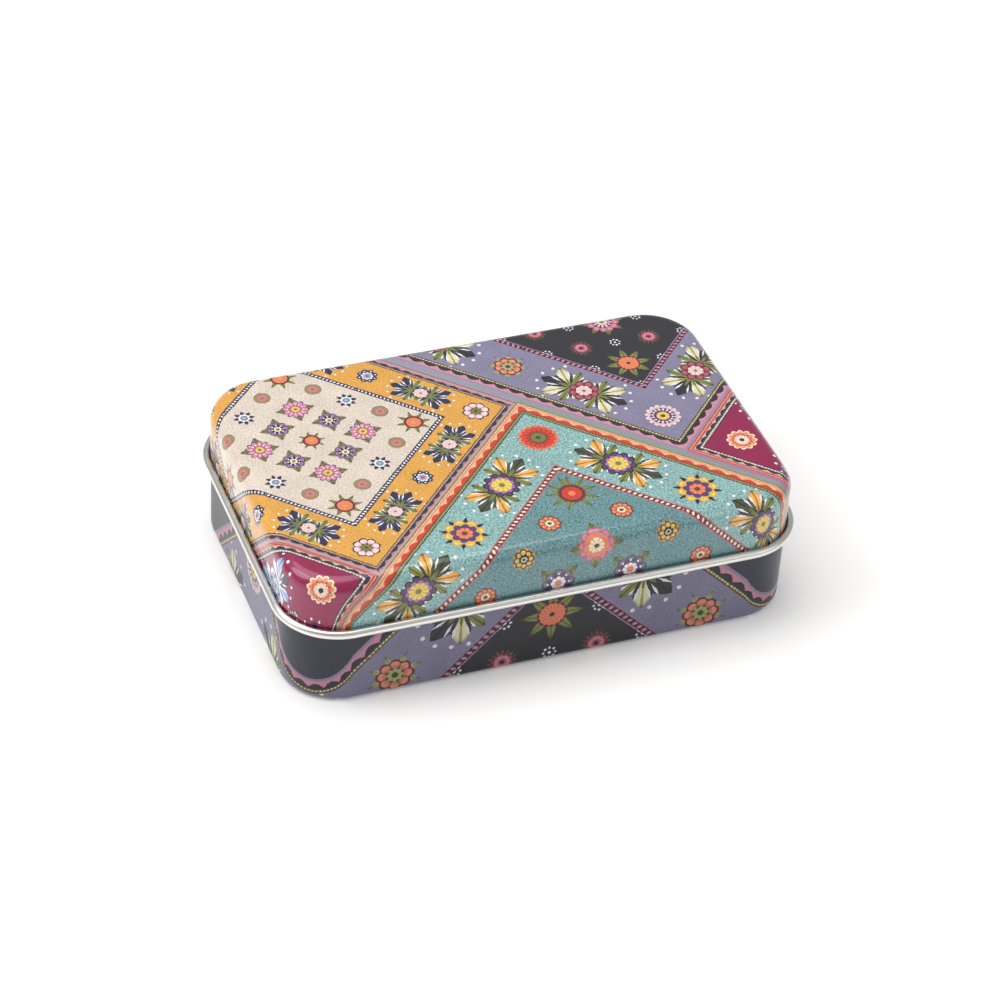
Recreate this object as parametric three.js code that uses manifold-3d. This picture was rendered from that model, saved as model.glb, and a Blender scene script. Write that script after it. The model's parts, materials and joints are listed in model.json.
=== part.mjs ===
// A rectangular metal lunch tin with a hinged lid: a drawn tray with a necked-in mouth, a drawn lid with a
// rolled rim, the wire inside that rim, and two straps that hook round the wire at the back.
// Millimetres, +Z up. The origin is the centre of the footprint, on the surface that the tin stands on.
// X runs along the long side and -Y is the front.
import * as THREE from "three";
import { mergeVertices } from "three/addons/utils/BufferGeometryUtils.js";
import Module from "manifold-3d";

const wasm = await Module();
wasm.setup();

// Driving dimensions
const trayLength = 184; // over the outside of the tray's wall
const trayWidth = 119;
const closedHeight = 51.5; // underside to lid top
const rimHeight = 31; // centre of the rolled rim above the underside
const cornerRadius = 20; // of the tray's outer wall, in plan
const sheet = 0.3; // tinplate thickness

// Tray
const trayEdgeRadius = 2.5; // where the wall meets the bottom
const panelInset = 9; // foot band around the raised bottom panel
const panelRise = 0.8;
const panelSlope = 0.8; // width of the sloping step up to the panel
const neckHeight = 7; // mouth of the tray above the rim's centre
const mouthCurlRadius = 0.9; // the mouth's safe edge, rolled inwards
const mouthCurlTurn = 250; // degrees

// Lid and its rolled rim
const lidEdgeRadius = 5; // where the wall meets the top
const rimRadius = 1.6;
const curlGap = 0.7; // slot left between the curl's edge and the lid's wall

// Running clearances
const lidOverTray = 0.1; // the lid's wall stands this far proud of the tray's wall
const neckClearance = 0.4; // lid's inner wall to neck
const restGap = 0.1; // rim to the shoulder that it rests on

// Hinge
const wireClearance = 0.3; // wire to the inside of the roll
const wireSides = 10;
const strapWidth = 14;
const strapSpacing = 110; // between the two straps' centres
const strapLength = 12; // below the hinge axis
const strapThickness = 0.45;
const knuckleClearance = 0.2; // wire to strap
const notchClearance = 0.5; // strap to the cut-away in the rim, all round
const strapGap = 0.05; // strap to tray wall
const hookOpening = 52; // degrees left open between the hook's tip and the strap's plate

// Facets
const cornerSteps = 8; // in each corner, in plan
const edgeSteps = 4; // across the tray's and the lid's round edges
const rimSteps = 14; // round the lid's rolled rim
const mouthSteps = 8; // round the tray's mouth
const hookSteps = 12; // round each strap's hook
const notchSides = 24;

// What follows from them
const halfLength = trayLength / 2;
const halfWidth = trayWidth / 2;
const lidOuter = lidOverTray; // offsets are measured outwards from the tray's outer wall
const lidInner = lidOuter - sheet;
const neckOuter = lidInner - neckClearance;
const rimCentre = lidInner + rimRadius;
const hingeY = halfWidth + rimCentre;
const wireRadius = rimRadius - sheet - wireClearance;
const knuckleInner = wireRadius + knuckleClearance;
const knuckleOuter = knuckleInner + strapThickness;
const shoulderReach = Math.max(rimRadius + restGap, knuckleOuter + strapGap); // hinge axis to the shoulder
const shoulderHeight = rimHeight - Math.sqrt(shoulderReach ** 2 - rimCentre ** 2);
const mouthHeight = rimHeight + neckHeight;

const tinplate = { roughness: 0.35, metalness: 0.9 };
const printedLid = new THREE.MeshStandardMaterial({ color: 0x6f9490, roughness: 0.28, metalness: 0.35 });
const printedTray = new THREE.MeshStandardMaterial({ color: 0x565368, roughness: 0.3, metalness: 0.35 });
const bareTinplate = new THREE.MeshStandardMaterial({ color: 0xc9c8c0, ...tinplate });

// Points of a profile: o is the offset outwards from the tray's outer wall, z the height.
const at = (o, z) => ({ o, z });
const centre = (z) => ({ z });

function arc(o, z, radius, fromDegrees, toDegrees, steps) {
  const points = [];
  for (let i = 0; i <= steps; i++) {
    const angle = THREE.MathUtils.degToRad(fromDegrees + ((toDegrees - fromDegrees) * i) / steps);
    points.push(at(o + radius * Math.cos(angle), z + radius * Math.sin(angle)));
  }
  return points;
}

// Sweeps a profile round the rounded rectangle: a lathe whose four quarters are moved out to the corners.
// A profile that starts and ends at a centre is closed by flat panels there.
function sweepRoundCorners(profile) {
  const columnsPerCorner = cornerSteps + 1;
  const columns = 4 * columnsPerCorner;
  const lathed = new THREE.LatheGeometry(
    profile.map((p) => new THREE.Vector2(p.o === undefined ? 0 : cornerRadius + p.o, p.z)),
    columns,
  );
  const position = lathed.getAttribute("position");
  for (let column = 0; column <= columns; column++) {
    const quarter = Math.floor((column % columns) / columnsPerCorner);
    const angle = (quarter + (column % columnsPerCorner) / cornerSteps) * (Math.PI / 2);
    const cornerX = (halfLength - cornerRadius) * (quarter === 0 || quarter === 3 ? 1 : -1);
    const cornerY = (halfWidth - cornerRadius) * (quarter < 2 ? 1 : -1);
    profile.forEach((p, row) => {
      const onAxis = p.o === undefined;
      const radius = onAxis ? 0 : cornerRadius + p.o;
      const x = onAxis ? 0 : cornerX + radius * Math.cos(angle);
      const y = onAxis ? 0 : cornerY + radius * Math.sin(angle);
      position.setXYZ(column * profile.length + row, x, y, p.z);
    });
  }
  return lathed;
}

function toSolid(geometry) {
  const bare = geometry.clone();
  bare.deleteAttribute("normal");
  bare.deleteAttribute("uv");
  const merged = mergeVertices(bare, 1e-3);
  const kept = [];
  const index = merged.index.array;
  for (let i = 0; i < index.length; i += 3) {
    const [a, b, c] = [index[i], index[i + 1], index[i + 2]];
    if (a !== b && b !== c && c !== a) kept.push(a, b, c);
  }
  const vertProperties = merged.attributes.position.array;
  return new wasm.Manifold(new wasm.Mesh({ numProp: 3, vertProperties, triVerts: new Uint32Array(kept) }));
}

function toGeometry(solid) {
  const mesh = solid.getMesh();
  return new THREE.BufferGeometry()
    .setAttribute("position", new THREE.BufferAttribute(mesh.vertProperties, 3))
    .setIndex(new THREE.BufferAttribute(mesh.triVerts, 1));
}

// The tray: raised bottom panel, round edge, wall, shoulder, neck and a mouth rolled inwards.
function trayGeometry() {
  const curlO = neckOuter - mouthCurlRadius;
  const curlZ = mouthHeight - mouthCurlRadius;
  const shoulderRise = -neckOuter; // the shoulder slopes at 45 degrees
  const bendShift = sheet * Math.tan(Math.PI / 8); // keeps the sheet's thickness round its bends
  const skin = (inside) => {
    const t = inside ? sheet : 0;
    const lift = inside ? bendShift : 0;
    return [
      centre(panelRise + t),
      at(-panelInset - panelSlope - lift, panelRise + t),
      at(-panelInset - lift, t),
      ...arc(-trayEdgeRadius, trayEdgeRadius, trayEdgeRadius - t, -90, 0, edgeSteps),
      at(-t, shoulderHeight + lift),
      at(neckOuter - t, shoulderHeight + shoulderRise + lift),
    ];
  };
  const mouthOutside = arc(curlO, curlZ, mouthCurlRadius, 0, mouthCurlTurn, mouthSteps);
  const mouthInside = arc(curlO, curlZ, mouthCurlRadius - sheet, mouthCurlTurn, 0, mouthSteps);
  return sweepRoundCorners([...skin(false), ...mouthOutside, ...mouthInside, ...skin(true).reverse()]);
}

// The lid, with heights measured from the rim's centre: top, round edge, wall and the rim rolled outwards.
function lidSweep() {
  const top = closedHeight - rimHeight;
  const curlEnd = 360 + THREE.MathUtils.radToDeg(Math.acos((lidOuter + curlGap - rimCentre) / rimRadius));
  const edge = (radius) => arc(lidOuter - lidEdgeRadius, top - lidEdgeRadius, radius, 0, 90, edgeSteps);
  return sweepRoundCorners([
    centre(top - sheet),
    ...edge(lidEdgeRadius - sheet).reverse(),
    ...arc(rimCentre, 0, rimRadius, 180, curlEnd, rimSteps),
    ...arc(rimCentre, 0, rimRadius - sheet, curlEnd, 180, rimSteps),
    ...edge(lidEdgeRadius),
    centre(top),
  ]);
}

// The rim is cut away round each strap, and the wire crosses the gap.
function lidGeometry() {
  let solid = toSolid(lidSweep());
  const notch = new THREE.CylinderGeometry(
    knuckleOuter + notchClearance,
    knuckleOuter + notchClearance,
    strapWidth + 2 * notchClearance,
    notchSides,
  ).rotateZ(Math.PI / 2);
  for (const side of [-1, 1]) {
    solid = solid.subtract(toSolid(notch.clone().translate((side * strapSpacing) / 2, hingeY, 0)));
  }
  return toGeometry(solid);
}

function wireGeometry() {
  const section = arc(rimCentre, 0, wireRadius, 0, 360, wireSides);
  return toGeometry(toSolid(sweepRoundCorners(section)));
}

// A strap, with the hinge axis at its origin: a plate down the tray's wall, hooked round the wire.
function strapGeometry() {
  const plateInner = -rimCentre + strapGap;
  const plateOuter = plateInner + strapThickness;
  const outerStart = Math.PI + Math.acos(-plateInner / knuckleOuter);
  const innerEnd = Math.PI + Math.acos(-plateOuter / knuckleInner);
  const tip = outerStart - 2 * Math.PI + THREE.MathUtils.degToRad(hookOpening);
  const outline = new THREE.Shape();
  outline.moveTo(plateInner, -strapLength);
  outline.absarc(0, 0, knuckleOuter, outerStart, tip, true);
  outline.absarc(0, 0, knuckleInner, tip, innerEnd, false);
  outline.lineTo(plateOuter, -strapLength);
  outline.closePath();
  const plate = new THREE.ExtrudeGeometry(outline, {
    depth: strapWidth,
    bevelEnabled: false,
    curveSegments: hookSteps,
  });
  // The outline's own axes are Y and Z of the tin, and it is extruded along X.
  plate.translate(0, 0, -strapWidth / 2);
  plate.applyMatrix4(new THREE.Matrix4().makeBasis(
    new THREE.Vector3(0, 1, 0),
    new THREE.Vector3(0, 0, 1),
    new THREE.Vector3(1, 0, 0),
  ));
  return toGeometry(toSolid(plate));
}

function piece(name, geometry, material) {
  geometry.computeVertexNormals();
  const mesh = new THREE.Mesh(geometry, material);
  mesh.name = name;
  return mesh;
}

const tin = new THREE.Group();
tin.add(piece("base_tray", toGeometry(toSolid(trayGeometry())), printedTray));

const lid = new THREE.Group();
lid.position.z = rimHeight;
lid.add(piece("lid_shell", lidGeometry(), printedLid));
lid.add(piece("lid_rim_wire", wireGeometry(), bareTinplate));
tin.add(lid);

for (const [name, side] of [["hinge_strap_left", -1], ["hinge_strap_right", 1]]) {
  const strap = piece(name, strapGeometry(), bareTinplate);
  strap.position.set((side * strapSpacing) / 2, hingeY, rimHeight);
  tin.add(strap);
}

export default tin;
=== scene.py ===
import json
import math
import bpy
from mathutils import Matrix, Vector


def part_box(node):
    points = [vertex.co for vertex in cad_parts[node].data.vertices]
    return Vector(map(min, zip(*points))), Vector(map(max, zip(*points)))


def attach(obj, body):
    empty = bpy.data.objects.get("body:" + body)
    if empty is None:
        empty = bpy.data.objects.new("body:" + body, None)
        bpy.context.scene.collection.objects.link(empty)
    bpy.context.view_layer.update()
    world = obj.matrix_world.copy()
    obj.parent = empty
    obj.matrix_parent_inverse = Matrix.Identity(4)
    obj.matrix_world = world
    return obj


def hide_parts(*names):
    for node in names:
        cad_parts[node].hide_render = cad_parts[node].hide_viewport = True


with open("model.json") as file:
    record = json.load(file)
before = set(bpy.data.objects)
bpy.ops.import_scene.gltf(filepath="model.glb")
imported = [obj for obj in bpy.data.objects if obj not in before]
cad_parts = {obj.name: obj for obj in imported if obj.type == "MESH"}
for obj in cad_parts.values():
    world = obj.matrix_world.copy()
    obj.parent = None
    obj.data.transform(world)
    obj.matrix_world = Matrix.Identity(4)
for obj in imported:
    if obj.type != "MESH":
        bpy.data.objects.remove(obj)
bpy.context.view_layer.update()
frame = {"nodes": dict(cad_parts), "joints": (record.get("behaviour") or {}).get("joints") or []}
bpy.ops.object.select_all(action="DESELECT")
print("frame loaded:", sorted(frame["nodes"]))

mm = 0.001
hair = 0.01 * mm  # for finding points by their place


def span(node, axis):
    low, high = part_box(node)
    return low[axis], high[axis]


hinge = frame["joints"][0]
hingeY = hinge["pos_m"][1]
rimZ = hinge["pos_m"][2]
lidTop = span("lid_shell", 2)[1]
mouthZ = span("base_tray", 2)[1]

tin = {
    "wallX": span("base_tray", 0)[1],  # outside of the tray's wall
    "wallY": span("base_tray", 1)[1],
    "cornerRadius": 20 * mm,
    "cornerSteps": 28,
    "sheet": 0.3 * mm,
    "lidOverTray": 0.1 * mm,
    "rimRadius": 1.6 * mm,
}
cornerX = tin["wallX"] - tin["cornerRadius"]  # centres of the four corners
cornerY = tin["wallY"] - tin["cornerRadius"]
lidWall = tin["wallX"] + tin["lidOverTray"]
rimX = lidWall - tin["sheet"] + tin["rimRadius"]  # centre of the rolled rim
across = (0, -1, 0)  # a profile turns about this


class signal:
    # a socket in an expression: each operator adds its Math node
    def __init__(self, box, socket):
        self.box = box
        self.socket = socket

    def __add__(self, other):
        return self.box.maths("ADD", self, other)

    def __radd__(self, other):
        return self.box.maths("ADD", other, self)

    def __sub__(self, other):
        return self.box.maths("SUBTRACT", self, other)

    def __rsub__(self, other):
        return self.box.maths("SUBTRACT", other, self)

    def __mul__(self, other):
        return self.box.maths("MULTIPLY", self, other)

    def __rmul__(self, other):
        return self.box.maths("MULTIPLY", other, self)

    def __truediv__(self, other):
        return self.box.maths("DIVIDE", self, other)

    def __pow__(self, other):
        return self.box.maths("POWER", self, other)

    def __lt__(self, other):
        return self.box.maths("LESS_THAN", self, other)

    def __gt__(self, other):
        return self.box.maths("GREATER_THAN", self, other)

    def __and__(self, other):
        return self.box.maths("MULTIPLY", self, other)

    def __rand__(self, other):
        return self.box.maths("MULTIPLY", other, self)

    def __or__(self, other):
        return self.box.maths("MAXIMUM", self, other)

    def __abs__(self):
        return self.box.maths("ABSOLUTE", self)


class paintBox:
    # one material and its nodes
    def __init__(self, name):
        self.material = bpy.data.materials.new(name)
        self.material.use_nodes = True
        self.tree = self.material.node_tree
        self.shader = self.tree.nodes["Principled BSDF"]

    def node(self, kind, settings=None, inputs=None):
        made = self.tree.nodes.new("ShaderNode" + kind)
        for setting, value in (settings or {}).items():
            if setting == "stops":
                self.setStops(made.color_ramp, *value)
            else:
                setattr(made, setting, value)
        for key, value in (inputs or {}).items():
            self.feed(made.inputs[key], value)
        return made

    def setStops(self, ramp, blend, stops):
        ramp.interpolation = blend
        while len(ramp.elements) < len(stops):
            ramp.elements.new(1)
        for element, (place, colour) in zip(ramp.elements, stops):
            element.position = place
            element.color = colour

    def feed(self, socket, value):
        if isinstance(value, signal):
            self.tree.links.new(value.socket, socket)
        else:
            socket.default_value = value

    def out(self, node, output=0):
        return signal(self, node.outputs[output])

    def maths(self, operation, *values):
        return self.out(self.node("Math", {"operation": operation}, dict(enumerate(values))))

    def choose(self, mask, whenNo, whenYes):
        # numbers
        return self.out(self.node("Mix", {"data_type": "FLOAT"}, {0: mask, 2: whenNo, 3: whenYes}))

    def paint(self, below, above, mask):
        # colours
        return self.out(self.node("Mix", {"data_type": "RGBA"}, {0: mask, 6: below, 7: above}), 2)

    def shade(self, colour, amount):
        # amount 1 leaves the colour as it is
        return self.out(self.node("VectorMath", {"operation": "SCALE"}, {0: colour, 3: amount}))

    def point(self, x, y):
        return self.out(self.node("CombineXYZ", {}, {0: x, 1: y}))

    def noise(self, where, scale, detail=2.0):
        inputs = {"Vector": where, "Scale": scale, "Detail": detail}
        return self.out(self.node("TexNoise", {}, inputs))

    def table(self, place, rows):
        # rows of four values, each for an equal step of place from 0 to 1
        stops = [(step / len(rows), row) for step, row in enumerate(rows)]
        return self.node("ValToRGB", {"stops": ("CONSTANT", stops)}, {0: place})

    def numbers(self, place, rows):
        row = self.table(place, rows)
        parts = self.node("SeparateColor", {}, {0: self.out(row)})
        return [self.out(parts, 0), self.out(parts, 1), self.out(parts, 2), self.out(row, 1)]

    def inks(self, place, names):
        return self.out(self.table(place, [ink[name] for name in names]))

    def lobes(self, turns, count, shift=0.0):
        # 0 along the middle of each of count petals round a full turn, 1 between them
        split = self.maths("FRACT", turns * count + (shift + 0.5))
        return abs(split - 0.5) * 2


def chart(red, green, blue):
    # a printed colour, from a colour chart's 0 to 255
    scaled = [v / 255 for v in (red, green, blue)]
    return (*[v / 12.92 if v <= 0.04045 else ((v + 0.055) / 1.055) ** 2.4 for v in scaled], 1.0)


ink = {name: chart(*colour) for name, colour in {
    "bone": (222, 208, 194),
    "mustard": (224, 164, 72),
    "navy": (44, 40, 72),
    "night": (38, 37, 46),
    "cream": (244, 228, 190),
    "white": (238, 238, 244),
    "olive": (122, 128, 62),
    "paleOlive": (172, 176, 112),
    "moss": (62, 68, 48),
    "teal": (104, 146, 150),
    "aqua": (142, 184, 182),
    "lilac": (134, 130, 158),
    "wine": (148, 14, 76),
    "maroon": (112, 34, 52),
    "plum": (92, 58, 106),
    "mauve": (164, 124, 162),
    "pink": (212, 138, 162),
    "rose": (190, 96, 116),
    "blush": (242, 206, 208),
    "orange": (238, 132, 92),
    "red": (208, 62, 40),
    "peach": (250, 184, 138),
    "yellow": (240, 204, 96),
    "slate": (124, 142, 152),
    "sky": (150, 180, 220),
    "brown": (108, 62, 48),
    "tan": (192, 156, 122),
    "sage": (142, 152, 142),
    "mist": (150, 150, 164),
    "ash": (50, 54, 68),
    "sand": (198, 178, 160),
    "salmon": (224, 140, 112),
    "straw": (208, 202, 156),
    "tin": (248, 246, 240),
    "paper": (248, 248, 248),
}.items()}


mostPetals = 32  # a table holds values from 0 to 1, so these scale what goes into one
mostSharp = 4
sheetSpan = 400
mostTrim = 10
mostStripe = 10


def flower(size, petals, cut, sharp, ring, disc, core, colours,
           leaf=0.0, leaves=4, dots=0.0, shift=0.0):
    # sizes are shares of the rug's pitch, and colours are leaf, tip, petal, ring, disc and core
    return {
        "shape": (size, petals / mostPetals, cut, sharp / mostSharp),
        "middle": (ring, disc, core, dots),
        "leaf": (leaf, leaves / mostPetals, shift, 1.0),
        "colours": colours.split(),
    }


flowers = {
    "sun": flower(0.24, 16, 0.05, 2, 0.18, 0.17, 0.05,
                  "olive maroon maroon orange orange mustard", 0.4, 8),
    "purpleBloom": flower(0.31, 8, 0.2, 3, 0.2, 0.11, 0.05,
                          "olive plum mauve navy cream olive", 0.5, 4, 0.155, 0.5),
    "pinkBloom": flower(0.38, 12, 0.22, 2, 0.16, 0.12, 0.05,
                        "olive plum pink rose yellow olive", 0.55, 4, 0.21, 0.5),
    "star": flower(0.3, 8, 0.45, 1, 0.17, 0.11, 0.05,
                   "navy navy navy white slate sky"),
    "medallion": flower(0.235, 24, 0.06, 2, 0.16, 0.12, 0.07,
                        "olive olive tan rose tan rose"),
    "bigSun": flower(0.27, 16, 0.05, 2, 0.21, 0.2, 0.06,
                     "olive maroon maroon orange orange mustard", 0.5, 8),
    "navyBloom": flower(0.29, 8, 0.2, 2, 0.17, 0.13, 0.06,
                        "cream navy navy white sky red", 0.36, 8, 0.22),
    "creamHeart": flower(0.24, 8, 0.3, 2, 0.2, 0.19, 0.04,
                         "olive navy navy blush blush olive"),
    "blushBloom": flower(0.37, 8, 0.18, 3, 0.17, 0.14, 0.05,
                         "moss navy blush maroon olive moss", 0.42, 8),
    "redSun": flower(0.27, 16, 0.06, 2, 0.2, 0.19, 0.07,
                     "olive brown maroon red red orange", 0.54, 10),
    "orangeBloom": flower(0.23, 10, 0.16, 2, 0.1, 0.09, 0.04,
                          "brown brown orange moss cream brown"),
    "yellowBloom": flower(0.21, 8, 0.22, 2, 0.11, 0.06, 0.03,
                          "mustard brown yellow night straw night", 0.3, 8, 0, 0.5),
    "grandPink": flower(0.37, 10, 0.2, 2, 0.26, 0.16, 0.05,
                        "olive rose pink orange cream brown", 0.54, 4, 0, 0.5),
    "greyBloom": flower(0.33, 8, 0.2, 2, 0.25, 0.15, 0.07,
                        "olive plum slate plum white orange", 0.52, 4, 0.21),
    "redBloom": flower(0.39, 16, 0.14, 2, 0.18, 0.15, 0.05,
                       "brown orange red moss olive moss", 0.42, 16, 0, 0.5),
    "lotus": flower(0.4, 8, 0.26, 1.4, 0.27, 0.16, 0.06,
                    "night mustard yellow plum orange brown", 0.49, 8, 0, 0.5),
    "plumHeart": flower(0.36, 10, 0.2, 2, 0.25, 0.2, 0.06,
                        "olive night plum mauve yellow olive"),
    "nightSun": flower(0.235, 16, 0.06, 2, 0.205, 0.19, 0.04,
                       "olive maroon brown orange orange night", 0.5, 8),
    "fringed": flower(0.19, 10, 0.2, 2, 0.12, 0.08, 0.04,
                      "olive maroon rose pink rose night", 0.27, 16),
    "nightPink": flower(0.34, 12, 0.2, 2, 0.2, 0.12, 0.05,
                        "olive rose pink maroon blush olive", 0.5, 8, 0.15),
    "plumBloom": flower(0.35, 16, 0.2, 2, 0.25, 0.13, 0.05,
                        "plum blush blush plum yellow brown", 0.4, 16, 0.19),
    "peachBloom": flower(0.29, 8, 0.18, 2, 0.14, 0.12, 0.05,
                         "paleOlive maroon salmon moss paleOlive moss", 0.43, 8, 0, 0.5),
    "pinkHeart": flower(0.31, 8, 0.24, 2, 0.2, 0.16, 0.04,
                        "moss maroon rose maroon blush olive"),
    "wineBloom": flower(0.3, 12, 0.2, 2, 0.15, 0.1, 0.05,
                        "wine cream orange blush cream navy"),
    "skyHeart": flower(0.26, 8, 0.28, 2, 0.14, 0.1, 0.04,
                       "sky navy sky white sky wine"),
}
flowerNames = list(flowers)

rugs = {
    # flowers: six places in the field from the middle out, then mid-side, bouquet heart and corner
    # edging: stripes by where each starts, in mm
    # scallop: start, least and most width, spacing and ink
    "cream": {
        "flowers": "sun purpleBloom pinkBloom star medallion bigSun "
                   "navyBloom creamHeart blushBloom",
        "grounds": "bone mustard",
        "line": "navy white navy",
        "leaves": "navy navy olive white",
        "edging": ((0, "night"), (0.35, "tan"), (0.8, "navy"), (1.2, "mauve"), (2.3, "tan"),
                   (3.0, "pink"), (3.6, "moss"), (3.9, "mist")),
        "scallop": (1.1, 0.3, 1.0, 4.6, "navy"),
        "stitch": "tan",
    },
    "teal": {
        "flowers": "grandPink greyBloom grandPink yellowBloom orangeBloom redSun "
                   "lotus plumHeart redBloom",
        "grounds": "teal aqua",
        "line": "maroon cream rose",
        "leaves": "moss mustard olive white",
        "edging": ((0, "moss"), (0.4, "olive"), (1.2, "moss"), (1.6, "peach"), (3.6, "tan"),
                   (4.2, "peach"), (4.6, "moss"), (4.9, "sage")),
        "scallop": (1.6, 0.5, 1.3, 5.8, "red"),
        "stitch": "tan",
    },
    "black": {
        "flowers": "nightSun greyBloom nightPink fringed fringed nightSun "
                   "peachBloom pinkHeart plumBloom",
        "grounds": "night lilac",
        "line": "night pink mauve",
        "leaves": "night straw olive white",
        "edging": ((0, "brown"), (0.4, "olive"), (1.1, "moss"), (1.5, "pink"), (3.9, "mist"),
                   (4.3, "mauve"), (4.7, "mist")),
        "scallop": (1.4, 0.5, 1.4, 5.6, "night"),
        "stitch": "cream",
    },
    "wine": {
        "flowers": "wineBloom wineBloom wineBloom wineBloom wineBloom wineBloom "
                   "wineBloom skyHeart wineBloom",
        "grounds": "wine wine",
        "line": "navy blush wine",
        "leaves": "navy sky white white",
        "edging": ((0, "navy"), (0.4, "tan"), (1.2, "navy"), (1.5, "sand"), (2.9, "red"),
                   (3.5, "sand"), (3.9, "red"), (4.5, "mauve")),
        "scallop": (1.4, 0.3, 1.0, 4.6, "navy"),
        "stitch": "white",
    },
}
rugNames = list(rugs)
flowerPlaces = 9
edgingSteps = 8
edgingReach = 6.0
lastStripe = 5.9


def byRug(key, part):
    # one word of each rug's setting
    return [rugs[name][key].split()[part] for name in rugNames]


def isRug(dress, name):
    number = rugNames.index(name)
    return (dress > number - 0.5) & (dress < number + 0.5)


rugShape = {
    # in pitches from the rug's middle
    "field": 2.5,
    "line": 2.62,
    "border": 3.78,
    "borderMiddle": 3.24,
    "bouquetAt": 1.6,
    "bouquetFrom": 0.58,
    "cornerFrom": 2.66,
    "lineWidth": 0.1,
    "lineDot": 0.11,
    "beadRadius": 0.029,
    # flecks, by how much stronger they are on the teal rug
    "fleckFrom": 0.54,
    "fleck": 0.2,
    "tealFleck": 0.42,
    # clusters of dots between the flowers
    "seedRing": 0.09,
    "seedCore": 0.024,
    "seedSize": 0.0004,
    # stitches along the edging, in mm
    "stitchLength": 1.25,
    "stitchAt": 0.78,
    "stitchHalf": 0.22,
}

fanShape = {
    # the leaves at each end of a bouquet
    "from": 0.27,
    "reach": 0.64,
    "leaves": 8,
    "cut": 0.34,
    "vein": 0.12,
    "rim": 0.045,
    "petalAt": (0.66, 0.37),
    "petal": 0.16,
    "haloOff": 0.03,
    "haloSize": 0.0012,
}

petalShape = {
    "leafCut": 0.62,
    "leafPower": 0.7,
    "leafVein": 0.13,
    "leafRim": 0.035,
    "rim": 0.04,
    "ringCut": 0.22,
    "discCut": 0.12,
    "dotSize": 0.00055,
}


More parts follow.
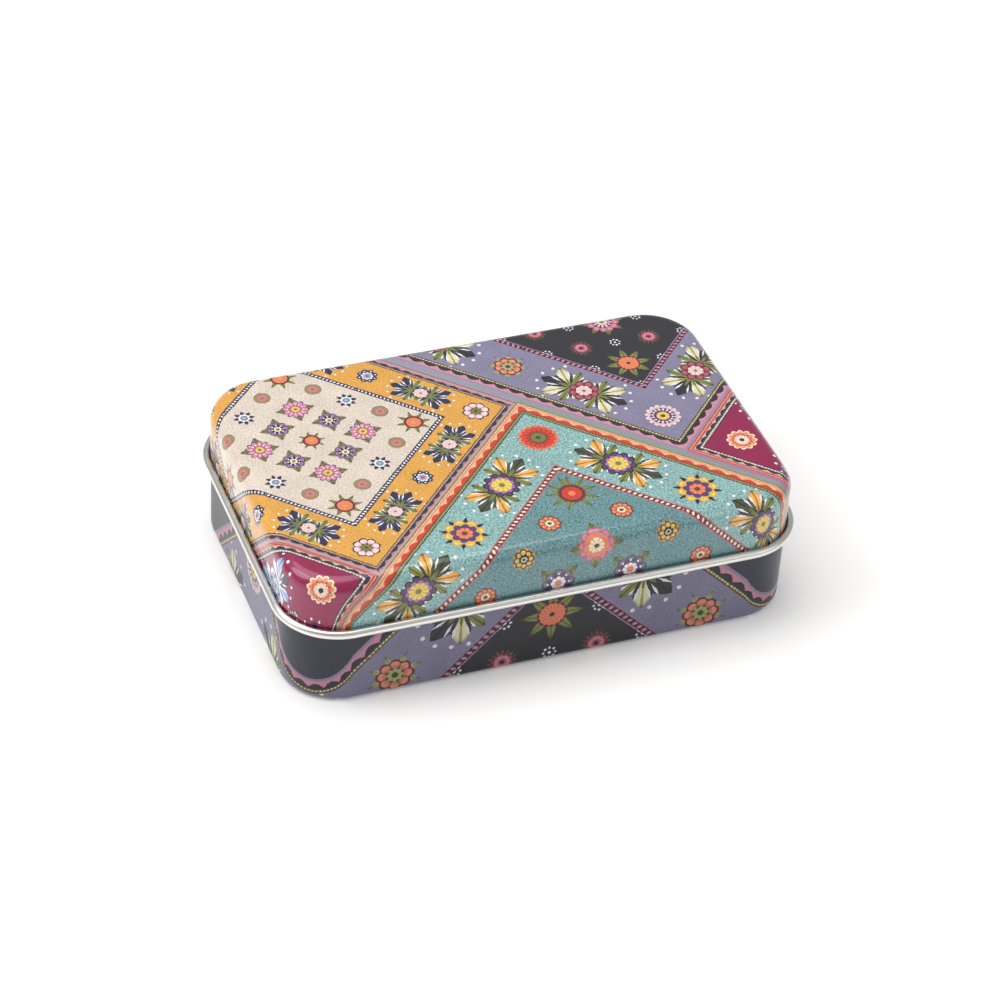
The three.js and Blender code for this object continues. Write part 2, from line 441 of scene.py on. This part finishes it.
def drawRugs(box, p, q, dress, places, place):
    # p and q run along the rugs' sides, in mm
    # dress says which rug's colours, and place says where it lies
    s = rugShape
    where = []
    for x, y, pitch, trim in places:
        where.append((0.5 + x / sheetSpan, 0.5 + y / sheetSpan, pitch / sheetSpan, trim / mostTrim))
    centreP, centreQ, pitch, trim = box.numbers((place + 0.5) / len(places), where)
    pitch = pitch * sheetSpan
    trim = trim * mostTrim
    a = abs(p - (centreP * sheetSpan - sheetSpan / 2)) / pitch
    b = abs(q - (centreQ * sheetSpan - sheetSpan / 2)) / pitch
    far = box.maths("MAXIMUM", a, b)
    near = box.maths("MINIMUM", a, b)
    dressPlace = (dress + 0.5) / len(rugNames)

    # which flower is nearest, and where the point lies from its middle
    ringAt = box.maths("MINIMUM", box.maths("ROUND", far), 2.0)
    rowAt = box.maths("MINIMUM", box.maths("ROUND", near), 2.0)
    inField = far < s["line"]
    atCorner = near > s["cornerFrom"]
    atBouquet = (near > s["bouquetFrom"]) & (1 - atCorner)
    alongAt = atBouquet * s["bouquetAt"] + atCorner * s["borderMiddle"]
    u = far - box.choose(inField, s["borderMiddle"], ringAt)
    v = near - box.choose(inField, alongAt, rowAt)
    fieldKind = ringAt * (ringAt + 1) * 0.5 + rowAt
    kind = box.choose(inField, 6 + atBouquet + atCorner * 2, fieldKind)
    bouquet = atBouquet & (1 - inField)
    choices = []
    for step in range(flowerPlaces):
        picks = [rugs[name]["flowers"].split()[step] for name in rugNames]
        choices.append([flowerNames.index(pick) / len(flowerNames) for pick in picks])
    forRug = box.numbers((kind + 0.5) / flowerPlaces, choices)
    chosen = forRug[0]
    for step in range(1, len(rugNames)):
        chosen = box.choose(dress > step - 0.5, chosen, forRug[step])
    chosen = chosen + 0.5 / len(flowerNames)
    rows = list(flowers.values())

    r = box.maths("SQRT", u * u + v * v)
    turns = box.maths("ARCTAN2", v, u) / math.tau

    # the ground: field, dotted line and border
    inMiddle = far < s["field"]
    borderInk = box.inks(dressPlace, byRug("grounds", 1))
    colour = box.paint(borderInk, box.inks(dressPlace, byRug("grounds", 0)), inMiddle)
    fleck = box.noise(box.point(p, q), 1.5, 3.0)
    pale = box.noise(box.point(q, p), 1.1, 3.0)
    dark = box.maths("MINIMUM", box.maths("MAXIMUM", (fleck - s["fleckFrom"]) * 14, 0.0), 1.0)
    light = box.maths("MINIMUM", box.maths("MAXIMUM", (pale - s["fleckFrom"]) * 12, 0.0), 1.0)
    strength = s["fleck"] + isRug(dress, "teal") * s["tealFleck"]
    colour = box.shade(colour, (1 - dark * strength) * (1 + light * strength * 0.7))
    patches = box.noise(box.point(p, q), 0.11, 1.0)
    colour = box.shade(colour, 0.86 + 0.28 * patches)
    onLine = (far > s["field"]) & (far < s["line"])
    middle = abs(far - (s["field"] + s["line"]) / 2)
    besideInk, beadInk = (box.inks(dressPlace, byRug("line", part)) for part in (2, 1))
    lineInk = box.inks(dressPlace, byRug("line", 0))
    colour = box.paint(colour, besideInk, middle < s["lineWidth"] * 0.72)
    colour = box.paint(colour, lineInk, onLine & (middle < s["lineWidth"] / 2))
    bead = (box.maths("FRACT", near / s["lineDot"] + far * 3) - 0.5) * s["lineDot"]
    dotted = (bead * bead + middle * middle * 0.6) < s["beadRadius"] ** 2
    colour = box.paint(colour, beadInk, dotted)

    # leaves and clusters of dots
    f = petalShape
    leaf, leafCount, leafShift, _ = box.numbers(chosen, [row["leaf"] for row in rows])
    leafSplit = box.lobes(turns, leafCount * mostPetals, leafShift)
    leafEdge = leaf * (1 - f["leafCut"] * leafSplit ** f["leafPower"])
    inLeaf = (r < leafEdge) & (1 - bouquet)
    leafInk = box.inks(chosen, [row["colours"][0] for row in rows])
    onVein = leafSplit < f["leafVein"]
    leafInk = box.shade(leafInk, 1.25 - 0.6 * onVein - 0.45 * (r > leafEdge - f["leafRim"]))
    colour = box.paint(colour, leafInk, inLeaf)
    fromCornerU = 0.5 - abs(u)
    fromCornerV = 0.5 - abs(v)
    cornerR = box.maths("SQRT", fromCornerU * fromCornerU + fromCornerV * fromCornerV)
    cornerTurns = box.maths("ARCTAN2", fromCornerV, fromCornerU) / math.tau
    cornerSplit = box.lobes(cornerTurns, 8)
    seedX = cornerR - s["seedRing"]
    seedY = cornerSplit * cornerR * (math.pi / 8)
    seed = ((seedX * seedX + seedY * seedY) < s["seedSize"]) | (cornerR < s["seedCore"])
    colour = box.paint(colour, ink["white"], seed & isRug(dress, "black") & inMiddle)

    # bouquets: a crest of leaves at each end of a heart flower
    g = fanShape
    fanX = abs(v) - g["from"]
    fanY = abs(u)
    fanR = box.maths("SQRT", fanX * fanX + fanY * fanY)
    fanTurns = box.maths("ARCTAN2", fanY, fanX) / math.tau
    fanSplit = box.lobes(fanTurns, g["leaves"])
    fanStep = box.maths("ROUND", fanTurns * g["leaves"])
    fanFull = g["reach"] - 0.02 * fanStep - 0.1 * (fanStep > 1.5)
    fanEdge = fanFull * (1 - g["cut"] * fanSplit)
    second = (abs(fanStep - 1) < 0.5) & (fanSplit < 0.62)
    low = (fanR < 0.3 - 0.3 * fanSplit) | ((fanStep > 1.5) & (fanSplit < 0.55))
    fanInk = box.inks(dressPlace, byRug("leaves", 0))
    fanInk = box.paint(fanInk, box.inks(dressPlace, byRug("leaves", 1)), second)
    fanInk = box.paint(fanInk, box.inks(dressPlace, byRug("leaves", 2)), low)
    onRim = fanR > fanEdge - g["rim"]
    fanInk = box.shade(fanInk, 1.25 - 0.7 * (fanSplit < g["vein"]) - 0.35 * onRim)
    petal = abs(fanSplit - g["petalAt"][0]) + abs(fanR - g["petalAt"][1]) * 1.1
    fanInk = box.paint(fanInk, box.inks(dressPlace, byRug("leaves", 3)), petal < g["petal"])
    colour = box.paint(colour, fanInk, (fanR < fanEdge) & bouquet)
    haloX = fanR - fanFull - g["haloOff"]
    haloY = box.lobes(fanTurns, 2 * g["leaves"], 0.5) * fanR * (math.pi / (2 * g["leaves"]))
    halo = ((haloX * haloX + haloY * haloY) < g["haloSize"]) & bouquet & (fanStep < 1.5)
    colour = box.paint(colour, box.inks(dressPlace, byRug("leaves", 3)), halo)

    # petals, ring, disc and core
    size, petals, cut, sharp = box.numbers(chosen, [row["shape"] for row in rows])
    ring, disc, core, dots = box.numbers(chosen, [row["middle"] for row in rows])
    split = box.lobes(turns, petals * mostPetals)
    between = 1 - split
    edge = size * (1 - cut * split ** (sharp * mostSharp))
    petalInk = box.inks(chosen, [row["colours"][2] for row in rows])
    petalInk = box.shade(petalInk, 1.12 - 0.5 * (split > 0.78) - 0.3 * (r < ring + f["rim"]))
    tipInk = box.inks(chosen, [row["colours"][1] for row in rows])
    petalInk = box.paint(petalInk, tipInk, r > edge - f["rim"])
    colour = box.paint(colour, petalInk, r < edge)
    ringEdge = ring * (1 - f["ringCut"] * between * between)
    ringInk = box.inks(chosen, [row["colours"][3] for row in rows])
    colour = box.paint(colour, ringInk, r < ringEdge)
    dotX = r - dots
    dotY = split * r * math.pi / (petals * mostPetals)
    inDots = ((dotX * dotX + dotY * dotY) < f["dotSize"]) & (dots > 0.01)
    colour = box.paint(colour, ink["white"], inDots)
    discInk = box.inks(chosen, [row["colours"][4] for row in rows])
    discInk = box.shade(discInk, 1.06 - 0.3 * (split > 0.66))
    colour = box.paint(colour, discInk, r < disc * (1 - f["discCut"] * split))
    coreInk = box.inks(chosen, [row["colours"][5] for row in rows])
    colour = box.paint(colour, coreInk, r < core)

    # edging: stripes, a row of scallops and a row of stitches
    out = (far - s["border"]) * pitch / trim
    stops = []
    for number, name in enumerate(rugNames):
        stripes = list(rugs[name]["edging"])
        stripes += [(edgingReach, stripes[-1][1])] * (edgingSteps - len(stripes))
        for start, stripeName in stripes:
            along = min(start, lastStripe) / edgingReach
            stops.append(((number + along) / len(rugNames), ink[stripeName]))
    stripe = (dress + box.maths("MINIMUM", out / edgingReach, 0.999)) / len(rugNames)
    stripeInk = box.out(box.node("ValToRGB", {"stops": ("CONSTANT", stops)}, {0: stripe}))
    scallops = [rugs[name]["scallop"] for name in rugNames]
    sizes = [[v / mostStripe for v in row[:4]] for row in scallops]
    start, least, most, period = box.numbers(dressPlace, sizes)
    swing = abs(box.maths("SINE", near * pitch / trim * (math.pi / mostStripe) / period))
    scallopEnd = (start + least) * mostStripe + most * mostStripe * swing
    inScallop = (out > start * mostStripe) & (out < scallopEnd)
    stripeInk = box.paint(stripeInk, box.inks(dressPlace, [row[4] for row in scallops]), inScallop)
    stitch = box.maths("FRACT", near * pitch / trim / s["stitchLength"]) > 0.5
    stitch = stitch & (abs(out - s["stitchAt"]) < s["stitchHalf"])
    stripeInk = box.paint(stripeInk, box.inks(dressPlace, byRug("stitch", 0)), stitch)
    return box.paint(colour, stripeInk, out > 0), out


sheetLook = {"roughness": 0.4, "coatRoughness": 0.07}


def startPrint(name):
    # the flat sheet's own coordinates, in mm, with the slight waver of a hand-drawn pattern
    box = paintBox(name)
    sheet = box.out(box.node("UVMap", {"uv_map": "flatSheet"}))
    sheet = box.shade(sheet, 1000.0)
    waver = box.node("TexNoise", {}, {"Vector": sheet, "Scale": 0.9, "Detail": 1.0})
    shift = box.out(box.node("VectorMath", {"operation": "MULTIPLY_ADD"},
                             {0: box.out(waver, 1), 1: (0.55, 0.55, 0), 2: (-0.275, -0.275, 0)}))
    moved = box.out(box.node("VectorMath", {"operation": "ADD"}, {0: sheet, 1: shift}))
    parts = box.node("SeparateXYZ", {}, {0: moved})
    x = box.out(parts, 0)
    y = box.out(parts, 1)
    return box, sheet, (x + y) * math.sqrt(0.5), (y - x) * math.sqrt(0.5)


def finishPrint(box, sheet, colour, plan):
    # the fine stitched grain of the artwork, then varnish over it
    grainAt = box.node("Mapping", {"vector_type": "TEXTURE"},
                       {"Vector": sheet, "Rotation": (0, 0, 0.5), "Scale": (1.0, 0.28, 1.0)})
    grain = box.noise(box.out(grainAt), 1.3, 2.0)
    colour = box.shade(colour, plan["tone"] * (0.4 + 1.15 * grain))
    box.feed(box.shader.inputs["Base Color"], colour)
    rough = sheetLook["roughness"] - 0.05 + 0.1 * box.noise(sheet, 0.05)
    box.feed(box.shader.inputs["Roughness"], rough)
    box.feed(box.shader.inputs["Specular IOR Level"], plan["specular"])
    box.feed(box.shader.inputs["Coat Weight"], plan["coat"])
    box.feed(box.shader.inputs["Coat Roughness"], sheetLook["coatRoughness"])
    dents = box.noise(sheet, 0.03, 1.0)
    height = grain * 0.012 + dents * 0.9
    bump = box.node("Bump", {}, {"Height": height, "Distance": mm, "Strength": 0.5})
    box.feed(box.shader.inputs["Normal"], box.out(bump))
    return box.material


lidPlan = {
    # each rug's middle along p and q, its pitch in mm, and how many times wider its edging is
    "places": ((-32.1, 56.9, 13.2, 1), (-52.6, -71.4, 18.5, 1), (100.3, 15.3, 18.6, 1),
               (100.8, -135, 18.6, 1), (-160, 79, 18.6, 1)),
    "rightFrom": 24.5,
    "wineRightBelow": -60,
    "creamAbove": 3.8,
    "wineLeftBelow": -86,
    "tone": 1,
    "specular": 0.35,
    "coat": 0.8,
}


def printLid():
    s = lidPlan
    box, sheet, p, q = startPrint("printedLid")
    right = p > s["rightFrom"]
    upper = q > s["creamAbove"]
    wineRight = right & (q < s["wineRightBelow"])
    wineLeft = (p < s["wineLeftBelow"]) & upper
    place = box.choose(right, box.choose(upper, 1.0, wineLeft * 4), 2 + wineRight)
    dress = box.maths("MINIMUM", place, 3.0)
    colour, out = drawRugs(box, p, q, dress, s["places"], place)
    return finishPrint(box, sheet, colour, s)


trayPlan = {"places": ((-7.8, -6.4, 24.5, 1.3),), "edging": 4.9,
            "tone": 0.72, "specular": 0.25, "coat": 0.25}


def printTray():
    box, sheet, p, q = startPrint("printedTray")
    colour, out = drawRugs(box, p, q, 2, trayPlan["places"], 0)
    colour = box.paint(colour, ink["ash"], out > trayPlan["edging"])
    # the foot is rubbed where it slides on a shelf
    height = box.out(box.node("SeparateXYZ", {}, {0: box.out(box.node("TexCoord"), 3)}), 2)
    rubbed = (height < 0.12 * mm) & (box.noise(sheet, 0.6, 3.0) > 0.57)
    colour = box.paint(colour, ink["mist"], rubbed * 0.6)
    return finishPrint(box, sheet, colour, trayPlan)


def objectPlace(box):
    # in mm, on the piece itself
    return box.shade(box.out(box.node("TexCoord"), 3), 1000.0)


def bareMetal(name, brightness, roughness, weldAt=None):
    # tinplate without varnish: rolling marks, a faint cloudiness and a few scratches
    box = paintBox(name)
    where = objectPlace(box)
    rolled = box.node("Mapping", {"vector_type": "POINT"},
                      {"Vector": where, "Scale": (0.05, 2.2, 2.2)})
    marks = box.noise(box.out(rolled), 1.0, 3.0)
    clouds = box.noise(where, 0.08, 3.0)
    scored = box.node("Mapping", {"vector_type": "POINT"},
                      {"Vector": where, "Rotation": (0, 0, 0.6), "Scale": (0.04, 1.4, 0.3)})
    scratch = box.noise(box.out(scored), 1.3, 2.0) > 0.76
    tone = brightness * (0.95 + 0.06 * marks + 0.05 * clouds - 0.02 * scratch)
    colour = box.shade(ink["tin"][:3], tone)
    rough = roughness - 0.06 + 0.12 * clouds + 0.06 * marks + 0.03 * scratch
    height = marks * 0.002 + clouds * 0.05
    if weldAt:
        parts = box.node("SeparateXYZ", {}, {0: where})
        aside = abs(abs(abs(box.out(parts, 0)) - weldAt["x"]) - weldAt["apart"])
        above = box.out(parts, 2) - weldAt["z"]
        spot = box.maths("SQRT", aside * aside + above * above)
        dimple = box.maths("MINIMUM", spot / weldAt["radius"], 1.0)
        height = height + dimple * dimple * 0.12
        tint = (spot < weldAt["radius"] * 1.3) * 0.12
        colour = box.paint(colour, ink["tan"], tint)
    box.feed(box.shader.inputs["Base Color"], colour)
    box.feed(box.shader.inputs["Roughness"], rough)
    box.feed(box.shader.inputs["Metallic"], 1.0)
    bump = box.node("Bump", {}, {"Height": height, "Distance": mm, "Strength": 0.6})
    box.feed(box.shader.inputs["Normal"], box.out(bump))
    return box.material


floorGlow = 0.14


def paintFloor():
    box = paintBox("floorPaint")
    soft = box.noise(objectPlace(box), 0.004, 2.0)
    box.feed(box.shader.inputs["Base Color"], box.shade(ink["paper"][:3], 0.99 + 0.02 * soft))
    box.feed(box.shader.inputs["Roughness"], 0.75)
    box.feed(box.shader.inputs["Emission Color"], (1, 1, 1, 1))
    box.feed(box.shader.inputs["Emission Strength"], floorGlow)
    return box.material


printedLid = printLid()
printedTray = printTray()
bareTin = bareMetal("bareTin", 0.84, 0.26)
strapX = sum(span("hinge_strap_right", 0)) / 2 / mm
strapFoot = span("hinge_strap_right", 2)[0] / mm
weld = {"x": strapX, "apart": 3.5, "z": strapFoot + 4, "radius": 1.2}
wireTin = bareMetal("wireTin", 0.7, 0.33, weld)
floorPaint = paintFloor()
print("prints drawn:", len(printedLid.node_tree.nodes), "nodes on the lid")


def done():
    if bpy.context.object:
        bpy.ops.object.mode_set(mode="OBJECT")
    bpy.ops.object.select_all(action="DESELECT")


def workOn(piece):
    done()
    piece.select_set(True)
    bpy.context.view_layer.objects.active = piece


def pickVerts(piece, test):
    workOn(piece)
    bpy.ops.object.mode_set(mode="EDIT")
    bpy.ops.mesh.select_mode(type="VERT")
    bpy.ops.mesh.select_all(action="DESELECT")
    bpy.ops.object.mode_set(mode="OBJECT")
    for vertex in piece.data.vertices:
        vertex.select = test(vertex.co)
    bpy.ops.object.mode_set(mode="EDIT")


def startProfile(name, x, y, z):
    # one point, to be drawn on from
    done()
    bpy.ops.mesh.primitive_plane_add(size=mm)
    piece = bpy.context.object
    piece.name = name
    piece.data.name = name
    bpy.ops.object.mode_set(mode="EDIT")
    bpy.ops.mesh.select_all(action="SELECT")
    bpy.ops.mesh.merge(type="CENTER")
    bpy.ops.transform.translate(value=(x, y, z))
    return piece


def drawBy(x, y, z):
    bpy.ops.mesh.extrude_region_move(TRANSFORM_OT_translate={"value": (x, y, z)})


def turnBy(degrees, centre, axis, steps):
    # with no window, spin turns the other way
    bpy.ops.mesh.spin(steps=steps, angle=-math.radians(degrees), center=centre, axis=axis)


def sweepRound():
    # takes the drawn profile from the start of one corner all the way round the tin
    bpy.ops.mesh.select_all(action="SELECT")
    for side, end, along in (
        (1, 1, (-2 * cornerX, 0, 0)),
        (-1, 1, (0, -2 * cornerY, 0)),
        (-1, -1, (2 * cornerX, 0, 0)),
        (1, -1, (0, 2 * cornerY, 0)),
    ):
        turnBy(90, (side * cornerX, end * cornerY, 0), (0, 0, 1), tin["cornerSteps"])
        drawBy(*along)
    bpy.ops.mesh.select_all(action="SELECT")
    bpy.ops.mesh.remove_doubles(threshold=hair)


def closePanel(piece, z, reach, inset, faces):
    # fills the flat panel at height z and turns its face up (1) or down (-1)
    pickVerts(piece, lambda p: abs(p.z - z) < hair and p.x < reach + hair)
    bpy.ops.mesh.edge_face_add()
    bpy.ops.mesh.inset(thickness=inset)
    bpy.ops.mesh.select_all(action="SELECT")
    bpy.ops.mesh.normals_make_consistent(inside=False)
    bpy.ops.object.mode_set(mode="OBJECT")
    panel = max(piece.data.polygons, key=lambda face: face.area)
    if panel.normal.z * faces < 0:
        bpy.ops.object.mode_set(mode="EDIT")
        bpy.ops.mesh.flip_normals()
    done()


def finishWith(piece, kind, **settings):
    workOn(piece)
    modifier = piece.modifiers.new(kind.lower(), kind)
    for setting, value in settings.items():
        setattr(modifier, setting, value)
    bpy.ops.object.modifier_apply(modifier=modifier.name)


def smooth(piece, degrees):
    workOn(piece)
    bpy.ops.object.shade_smooth_by_angle(angle=math.radians(degrees))


def profileOf(piece, startZ):
    # the drawn profile's points in order, as (distance out from the corner's centre, height)
    bpy.ops.object.mode_set(mode="OBJECT")
    points = piece.data.vertices
    beside = {}
    for edge in piece.data.edges:
        first, second = edge.vertices
        beside.setdefault(first, []).append(second)
        beside.setdefault(second, []).append(first)
    ends = [point for point, near in beside.items() if len(near) == 1]
    order = [min(ends, key=lambda point: abs(points[point].co.z - startZ))]
    while len(order) < len(points):
        order.append(next(near for near in beside[order[-1]] if near not in order[-2:]))
    bpy.ops.object.mode_set(mode="EDIT")
    return [Vector((points[point].co.x - cornerX, points[point].co.z)) for point in order]


def layFlat(piece, profile):
    # a UV map of where each point lay on the flat sheet before drawing, in metres
    lengths = [profile[0].x]
    for before, after in zip(profile, profile[1:]):
        lengths.append(lengths[-1] + (after - before).length)
    layer = piece.data.uv_layers.new(name="flatSheet")
    places = []
    for vertex in piece.data.vertices:
        x, y, z = vertex.co
        base = Vector((max(-cornerX, min(cornerX, x)), max(-cornerY, min(cornerY, y))))
        out = Vector((x, y)) - base
        here = Vector((out.length, z))
        nearest = min(range(len(profile)), key=lambda i: (profile[i] - here).length)
        if out.length < profile[0].x - hair:
            places.append(Vector((x, y)))
        else:
            places.append(base + out.normalized() * lengths[nearest])
    for loop in piece.data.loops:
        layer.data[loop.index].uv = places[loop.vertex_index]


def makeSheet(piece, printed):
    # the bare back of the sheet and its cut edges take the second material
    piece.data.materials.append(printed)
    piece.data.materials.append(bareTin)
    finishWith(piece, "SOLIDIFY", thickness=tin["sheet"], offset=-1, use_even_offset=True,
               use_rim=True, material_offset=1, material_offset_rim=1)


lidSizes = {
    "edgeRadius": 5 * mm,
    "edgeSteps": 12,
    "rimSlot": 0.7 * mm,
    "rimSteps": 32,
    "panelInset": 0.8 * mm,
    "notchRadius": 2.15 * mm,
    "notchSide": 0.5 * mm,  # left open beside each strap
}


def cutNotch(lid, node):
    low, high = span(node, 0)
    done()
    bpy.ops.mesh.primitive_cylinder_add(
        vertices=64, radius=lidSizes["notchRadius"],
        depth=high - low + 2 * lidSizes["notchSide"],
        location=((low + high) / 2, hingeY, rimZ), rotation=(0, math.radians(90), 0))
    cutter = bpy.context.object
    for face in cutter.data.polygons:
        face.material_index = 1
    finishWith(lid, "BOOLEAN", object=cutter, operation="DIFFERENCE", solver="EXACT")
    bpy.data.objects.remove(cutter)


def makeLid():
    s = lidSizes
    edgeX = lidWall - s["edgeRadius"]
    edgeZ = lidTop - s["edgeRadius"]
    slotAngle = math.degrees(math.acos((lidWall + s["rimSlot"] - rimX) / tin["rimRadius"]))
    lid = startProfile("lid", edgeX, cornerY, lidTop)
    turnBy(-90, (edgeX, cornerY, edgeZ), across, s["edgeSteps"])
    drawBy(0, 0, rimZ - edgeZ)
    turnBy(180 + slotAngle, (rimX, cornerY, rimZ), across, s["rimSteps"])
    profile = profileOf(lid, lidTop)
    sweepRound()
    closePanel(lid, lidTop, edgeX, s["panelInset"], 1)
    layFlat(lid, profile)
    makeSheet(lid, printedLid)
    cutNotch(lid, "hinge_strap_left")
    cutNotch(lid, "hinge_strap_right")
    smooth(lid, 40)
    return lid


traySizes = {
    "edgeRadius": 2.5 * mm,
    "edgeSteps": 10,
    "panelInset": 9 * mm,
    "panelRise": 0.8 * mm,
    "panelSlope": 0.8 * mm,
    "shoulderReach": 1.7 * mm,  # hinge axis to the shoulder
    "neckClearance": 0.4 * mm,
    "mouthRadius": 0.9 * mm,
    "mouthTurn": 250,
    "mouthSteps": 20,
}


def makeTray():
    s = traySizes
    wall = tin["wallX"]
    neck = lidWall - tin["sheet"] - s["neckClearance"]
    shoulderZ = rimZ - math.sqrt(s["shoulderReach"] ** 2 - (rimX - wall) ** 2)
    panelX = wall - s["panelInset"] - s["panelSlope"]
    mouthBase = mouthZ - s["mouthRadius"]
    tray = startProfile("tray", panelX, cornerY, s["panelRise"])
    drawBy(s["panelSlope"], 0, -s["panelRise"])
    drawBy(s["panelInset"] - s["edgeRadius"], 0, 0)
    turnBy(90, (wall - s["edgeRadius"], cornerY, s["edgeRadius"]), across, s["edgeSteps"])
    drawBy(0, 0, shoulderZ - s["edgeRadius"])
    drawBy(neck - wall, 0, wall - neck)
    drawBy(0, 0, mouthBase - shoulderZ - (wall - neck))
    turnBy(s["mouthTurn"], (neck - s["mouthRadius"], cornerY, mouthBase), across, s["mouthSteps"])
    profile = profileOf(tray, s["panelRise"])
    sweepRound()
    closePanel(tray, s["panelRise"], panelX, lidSizes["panelInset"], -1)
    layFlat(tray, profile)
    for face in tray.data.polygons:
        face.material_index = 1 if face.center.z > shoulderZ + hair else 0
    makeSheet(tray, printedTray)
    smooth(tray, 40)
    return tray


wireSizes = {"radius": 1.0 * mm, "sides": 24}


def makeWire():
    s = wireSizes
    wire = startProfile("rimWire", rimX + s["radius"], cornerY, rimZ)
    turnBy(360, (rimX, cornerY, rimZ), across, s["sides"])
    bpy.ops.mesh.select_all(action="SELECT")
    bpy.ops.mesh.remove_doubles(threshold=hair)
    sweepRound()
    bpy.ops.mesh.normals_make_consistent(inside=False)
    smooth(wire, 40)
    return wire


strapSizes = {
    "thickness": 0.45 * mm,
    "gap": 0.05 * mm,  # to the tray's wall
    "wireClearance": 0.2 * mm,
    "hookOpening": 52,
    "hookSteps": 36,
    "cornerRadius": 2.5 * mm,
    "edgeRadius": 0.12 * mm,
}


def makeStrap(name, node):
    s = strapSizes
    low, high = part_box(node)
    # the middle of the plate's thickness, from the axis
    middle = tin["wallY"] + s["gap"] + s["thickness"] / 2 - hingeY
    reach = wireSizes["radius"] + s["wireClearance"] + s["thickness"] / 2
    lift = -math.sqrt(reach ** 2 - middle ** 2)
    centre = (low.x, hingeY, rimZ)
    strap = startProfile(name, low.x, hingeY + middle, low.z)
    drawBy(0, 0, rimZ + lift - low.z)
    turnBy(s["hookOpening"] - 360, centre, (1, 0, 0), s["hookSteps"])
    bpy.ops.mesh.select_all(action="SELECT")
    drawBy(high.x - low.x, 0, 0)
    pickVerts(strap, lambda p: p.z < low.z + hair)
    bpy.ops.mesh.bevel(offset=s["cornerRadius"], segments=6, affect="VERTICES")
    bpy.ops.mesh.select_all(action="SELECT")
    bpy.ops.mesh.normals_make_consistent(inside=False)
    finishWith(strap, "SOLIDIFY", thickness=s["thickness"], offset=0, use_even_offset=True,
               use_rim=True)
    finishWith(strap, "BEVEL", width=s["edgeRadius"], segments=2, limit_method="ANGLE",
               angle_limit=math.radians(60))
    smooth(strap, 40)
    return strap


lid = makeLid()
print("lid made:", len(lid.data.vertices), "points")
tray = makeTray()
print("tray made:", len(tray.data.vertices), "points")
rimWire = makeWire()
hingeStrapLeft = makeStrap("hingeStrapLeft", "hinge_strap_left")
hingeStrapRight = makeStrap("hingeStrapRight", "hinge_strap_right")
print("wire and straps made")

for piece, body, slot, node in (
    (lid, "lid", "printed_lid", "lid_shell"),
    (tray, "tray", "printed_tray", "base_tray"),
    (rimWire, "lid", "bare_tinplate", "lid_rim_wire"),
    (hingeStrapLeft, "tray", "bare_tinplate", "hinge_strap_left"),
    (hingeStrapRight, "tray", "bare_tinplate", "hinge_strap_right"),
):
    if not piece.data.materials:
        piece.data.materials.append(wireTin)
    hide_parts(node)
    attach(piece, body)
print("finishes given")

stage = {"size": 6, "top": -0.05 * mm}


def makeFloor():
    done()
    bpy.ops.mesh.primitive_plane_add(size=stage["size"], location=(0, 0, stage["top"]))
    floor = bpy.context.object
    floor.name = "floor"
    floor.data.materials.append(floorPaint)


makeFloor()

camera = {
    "around": -22.52,  # degrees, from straight in front
    "above": 38.61,
    "tilt": 3.81,
    "distance": 1165.8 * mm,
    "aside": -2.8 * mm,  # of the middle of the picture from the tin's foot
    "down": -19.0 * mm,
    "lens": 117.4,
}


def placeCamera():
    around, above, tilt = (math.radians(camera[angle]) for angle in ("around", "above", "tilt"))
    back = Vector((math.sin(around) * math.cos(above), -math.cos(around) * math.cos(above),
                   math.sin(above)))
    level = Vector((math.cos(around), math.sin(around), 0))
    upright = back.cross(level)
    right = math.cos(tilt) * level + math.sin(tilt) * upright
    up = math.cos(tilt) * upright - math.sin(tilt) * level
    place = back * camera["distance"] - right * camera["aside"] - up * camera["down"]
    bpy.ops.object.camera_add(location=place)
    seen = bpy.context.object
    seen.name = "camera"
    seen.rotation_euler = Matrix((right, up, back)).transposed().to_euler()
    seen.data.lens = camera["lens"]
    seen.data.sensor_width = 36
    bpy.context.scene.camera = seen


placeCamera()

lights = {
    # name: place in metres, size, watts, colour
    "keyLight": ((-0.2, 0.25, 1.35), 1.5, 12.5, (1.0, 0.985, 0.96)),
    "leftLight": ((-0.95, 0.2, 0.95), 0.8, 6, (1.0, 1.0, 1.0)),
    "fillLight": ((0.9, -0.9, 0.9), 1.2, 2.5, (0.97, 0.98, 1.0)),
}
skyStrength = 0.4


def placeLights():
    for name, (place, size, power, colour) in lights.items():
        bpy.ops.object.light_add(type="AREA", location=place)
        lamp = bpy.context.object
        lamp.name = name
        lamp.data.shape = "DISK"
        lamp.data.size = size
        lamp.data.energy = power
        lamp.data.color = colour
        lamp.rotation_euler = Vector(place).to_track_quat("Z", "Y").to_euler()
    world = bpy.data.worlds.new("studio")
    world.use_nodes = True
    world.node_tree.nodes["Background"].inputs["Color"].default_value = (1, 1, 1, 1)
    world.node_tree.nodes["Background"].inputs["Strength"].default_value = skyStrength
    bpy.context.scene.world = world
    bpy.context.scene.view_settings.view_transform = "Standard"


placeLights()
print("stage, camera and lights set")
